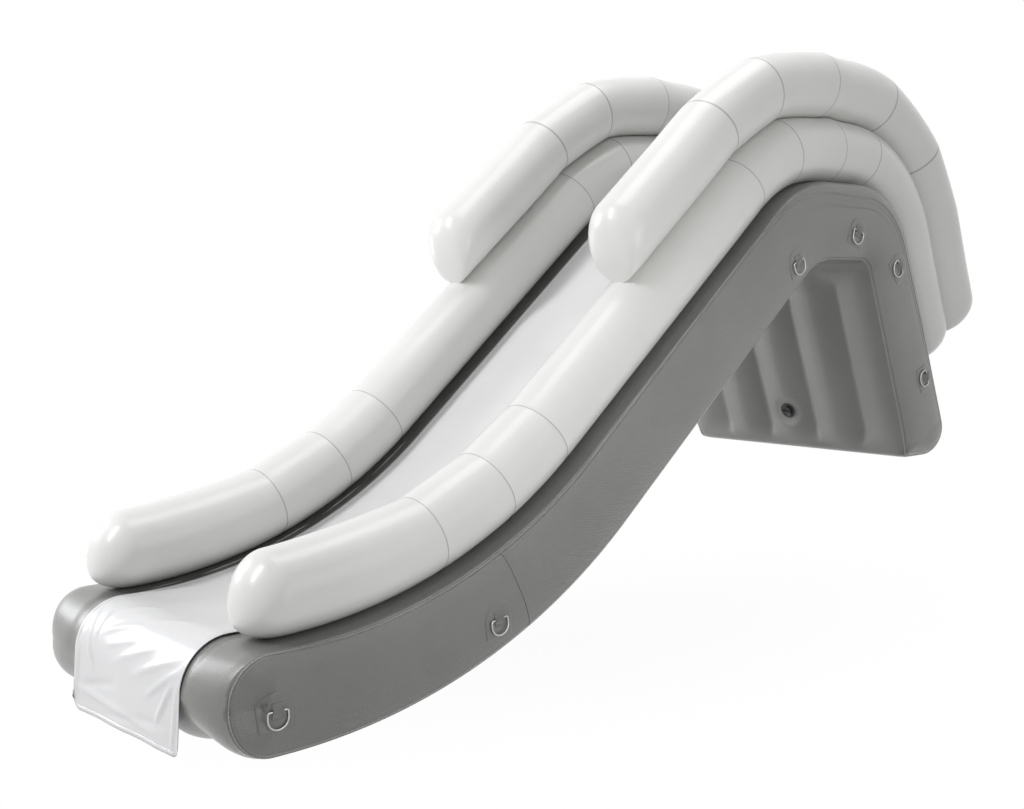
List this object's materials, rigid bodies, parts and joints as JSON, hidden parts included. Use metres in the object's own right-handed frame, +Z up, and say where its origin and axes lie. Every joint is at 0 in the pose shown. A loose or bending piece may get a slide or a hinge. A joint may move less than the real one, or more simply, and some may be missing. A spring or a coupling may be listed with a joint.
{
  "type": "inflatable yacht slide",
  "caption": "Inflatable slide that stands on a yacht's deck: ribbed air chamber with a white liner, tube rails, D-rings for tie lines and capped inflation valves.",
  "frame": {"origin": "middle of the flat foot of the rear leg, which stands on the yacht's deck", "axes": "+Z up; +Y from the slide's toe to its leg; +X to the right of someone at the toe looking up it"},
  "size_m": [1.5774, 5.1515, 2.9256],
  "materials": {
    "grey_pvc": "satin coated fabric with a fine weave",
    "white_pvc": "glossy coated fabric",
    "white_liner": "satin coated fabric",
    "web_fabric": "matt uncoated fabric",
    "stainless": "polished stainless steel",
    "black_plastic": "matt moulded plastic",
    "red_plastic": "satin moulded plastic"
  },
  "bodies": {
    "slide_body": {"base_chamber": "grey_pvc", "slide_liner": "white_liner", "baffle_web_1": "web_fabric", "baffle_web_2": "web_fabric", "baffle_web_3": "web_fabric", "baffle_web_4": "web_fabric", "lower_rail_left": "white_pvc", "upper_rail_left": "white_pvc", "ring_patch_left_1": "grey_pvc", "ring_patch_left_2": "grey_pvc", "ring_patch_left_3": "grey_pvc", "ring_patch_left_4": "grey_pvc", "ring_patch_left_5": "grey_pvc", "ring_patch_left_6": "grey_pvc", "lower_rail_right": "white_pvc", "upper_rail_right": "white_pvc", "ring_patch_right_1": "grey_pvc", "ring_patch_right_2": "grey_pvc", "ring_patch_right_3": "grey_pvc", "ring_patch_right_4": "grey_pvc", "ring_patch_right_5": "grey_pvc", "ring_patch_right_6": "grey_pvc", "base_valve_seat": "black_plastic", "base_valve_spring": "stainless", "lower_valve_left_seat": "black_plastic", "lower_valve_left_spring": "stainless", "upper_valve_left_seat": "black_plastic", "upper_valve_left_spring": "stainless", "lower_valve_right_seat": "black_plastic", "lower_valve_right_spring": "stainless", "upper_valve_right_seat": "black_plastic", "upper_valve_right_spring": "stainless"},
    "ring_left_1": {"d_ring_left_1": "stainless"},
    "ring_left_2": {"d_ring_left_2": "stainless"},
    "ring_left_3": {"d_ring_left_3": "stainless"},
    "ring_left_4": {"d_ring_left_4": "stainless"},
    "ring_left_5": {"d_ring_left_5": "stainless"},
    "ring_left_6": {"d_ring_left_6": "stainless"},
    "ring_right_1": {"d_ring_right_1": "stainless"},
    "ring_right_2": {"d_ring_right_2": "stainless"},
    "ring_right_3": {"d_ring_right_3": "stainless"},
    "ring_right_4": {"d_ring_right_4": "stainless"},
    "ring_right_5": {"d_ring_right_5": "stainless"},
    "ring_right_6": {"d_ring_right_6": "stainless"},
    "base_valve_cap_body": {"base_valve_cap": "black_plastic"},
    "base_valve_poppet_body": {"base_valve_poppet": "red_plastic"},
    "lower_valve_left_cap_body": {"lower_valve_left_cap": "black_plastic"},
    "lower_valve_left_poppet_body": {"lower_valve_left_poppet": "red_plastic"},
    "upper_valve_left_cap_body": {"upper_valve_left_cap": "black_plastic"},
    "upper_valve_left_poppet_body": {"upper_valve_left_poppet": "red_plastic"},
    "lower_valve_right_cap_body": {"lower_valve_right_cap": "black_plastic"},
    "lower_valve_right_poppet_body": {"lower_valve_right_poppet": "red_plastic"},
    "upper_valve_right_cap_body": {"upper_valve_right_cap": "black_plastic"},
    "upper_valve_right_poppet_body": {"upper_valve_right_poppet": "red_plastic"}
  },
  "joints": [
    {"name": "ring_left_1_swing", "type": "hinge", "parent": "slide_body", "child": "ring_left_1", "pos_m": [-0.7828, -4.27531, -0.56016], "axis": [0, 1, 0], "range_deg": [0, 150]},
    {"name": "ring_left_2_swing", "type": "hinge", "parent": "slide_body", "child": "ring_left_2", "pos_m": [-0.7828, -3.21219, -0.39888], "axis": [0, 0.9877, 0.1564], "range_deg": [0, 150]},
    {"name": "ring_left_3_swing", "type": "hinge", "parent": "slide_body", "child": "ring_left_3", "pos_m": [-0.7828, -1.2164, 1.07975], "axis": [0, 0.9272, 0.3746], "range_deg": [0, 150]},
    {"name": "ring_left_4_swing", "type": "hinge", "parent": "slide_body", "child": "ring_left_4", "pos_m": [-0.7828, -0.6986, 1.24181], "axis": [0, 0.9563, -0.2924], "range_deg": [0, 150]},
    {"name": "ring_left_5_swing", "type": "hinge", "parent": "slide_body", "child": "ring_left_5", "pos_m": [-0.7828, -0.30068, 1.0655], "axis": [0, 0.6428, -0.766], "range_deg": [0, 150]},
    {"name": "ring_left_6_swing", "type": "hinge", "parent": "slide_body", "child": "ring_left_6", "pos_m": [-0.7828, -0.00382, 0.45303], "axis": [0, 0.3907, -0.9205], "range_deg": [0, 150]},
    {"name": "ring_right_1_swing", "type": "hinge", "parent": "slide_body", "child": "ring_right_1", "pos_m": [0.7828, -4.27531, -0.56016], "axis": [0, -1, 0], "range_deg": [0, 150]},
    {"name": "ring_right_2_swing", "type": "hinge", "parent": "slide_body", "child": "ring_right_2", "pos_m": [0.7828, -3.21219, -0.39888], "axis": [0, -0.9877, -0.1564], "range_deg": [0, 150]},
    {"name": "ring_right_3_swing", "type": "hinge", "parent": "slide_body", "child": "ring_right_3", "pos_m": [0.7828, -1.2164, 1.07975], "axis": [0, -0.9272, -0.3746], "range_deg": [0, 150]},
    {"name": "ring_right_4_swing", "type": "hinge", "parent": "slide_body", "child": "ring_right_4", "pos_m": [0.7828, -0.6986, 1.24181], "axis": [0, -0.9563, 0.2924], "range_deg": [0, 150]},
    {"name": "ring_right_5_swing", "type": "hinge", "parent": "slide_body", "child": "ring_right_5", "pos_m": [0.7828, -0.30068, 1.0655], "axis": [0, -0.6428, 0.766], "range_deg": [0, 150]},
    {"name": "ring_right_6_swing", "type": "hinge", "parent": "slide_body", "child": "ring_right_6", "pos_m": [0.7828, -0.00382, 0.45303], "axis": [0, -0.3907, 0.9205], "range_deg": [0, 150]},
    {"name": "base_valve_cap_turn", "type": "hinge", "parent": "slide_body", "child": "base_valve_cap_body", "pos_m": [0, -0.22236, 0.22454], "axis": [0, -0.9278, -0.373], "range_deg": [0, 90]},
    {"name": "base_valve_poppet_press", "type": "slide", "parent": "slide_body", "child": "base_valve_poppet_body", "axis": [0, 0.9278, 0.373], "range_m": [0, 0.008], "stiffness_N_per_m": 300, "springref_m": -0.01, "deforming": ["base_valve_spring"]},
    {"name": "lower_valve_left_cap_turn", "type": "hinge", "parent": "slide_body", "child": "lower_valve_left_cap_body", "pos_m": [-0.411, 0.12632, 0.8969], "axis": [1, 0, 0], "range_deg": [0, 90]},
    {"name": "lower_valve_left_poppet_press", "type": "slide", "parent": "slide_body", "child": "lower_valve_left_poppet_body", "axis": [-1, 0, 0], "range_m": [0, 0.008], "stiffness_N_per_m": 300, "springref_m": -0.01, "deforming": ["lower_valve_left_spring"]},
    {"name": "upper_valve_left_cap_turn", "type": "hinge", "parent": "slide_body", "child": "upper_valve_left_cap_body", "pos_m": [-0.416, 0.41879, 1.05758], "axis": [1, 0, 0], "range_deg": [0, 90]},
    {"name": "upper_valve_left_poppet_press", "type": "slide", "parent": "slide_body", "child": "upper_valve_left_poppet_body", "axis": [-1, 0, 0], "range_m": [0, 0.008], "stiffness_N_per_m": 300, "springref_m": -0.01, "deforming": ["upper_valve_left_spring"]},
    {"name": "lower_valve_right_cap_turn", "type": "hinge", "parent": "slide_body", "child": "lower_valve_right_cap_body", "pos_m": [0.411, 0.12632, 0.8969], "axis": [-1, 0, 0], "range_deg": [0, 90]},
    {"name": "lower_valve_right_poppet_press", "type": "slide", "parent": "slide_body", "child": "lower_valve_right_poppet_body", "axis": [1, 0, 0], "range_m": [0, 0.008], "stiffness_N_per_m": 300, "springref_m": -0.01, "deforming": ["lower_valve_right_spring"]},
    {"name": "upper_valve_right_cap_turn", "type": "hinge", "parent": "slide_body", "child": "upper_valve_right_cap_body", "pos_m": [0.416, 0.41879, 1.05758], "axis": [-1, 0, 0], "range_deg": [0, 90]},
    {"name": "upper_valve_right_poppet_press", "type": "slide", "parent": "slide_body", "child": "upper_valve_right_poppet_body", "axis": [1, 0, 0], "range_m": [0, 0.008], "stiffness_N_per_m": 300, "springref_m": -0.01, "deforming": ["upper_valve_right_spring"]}
  ]
}
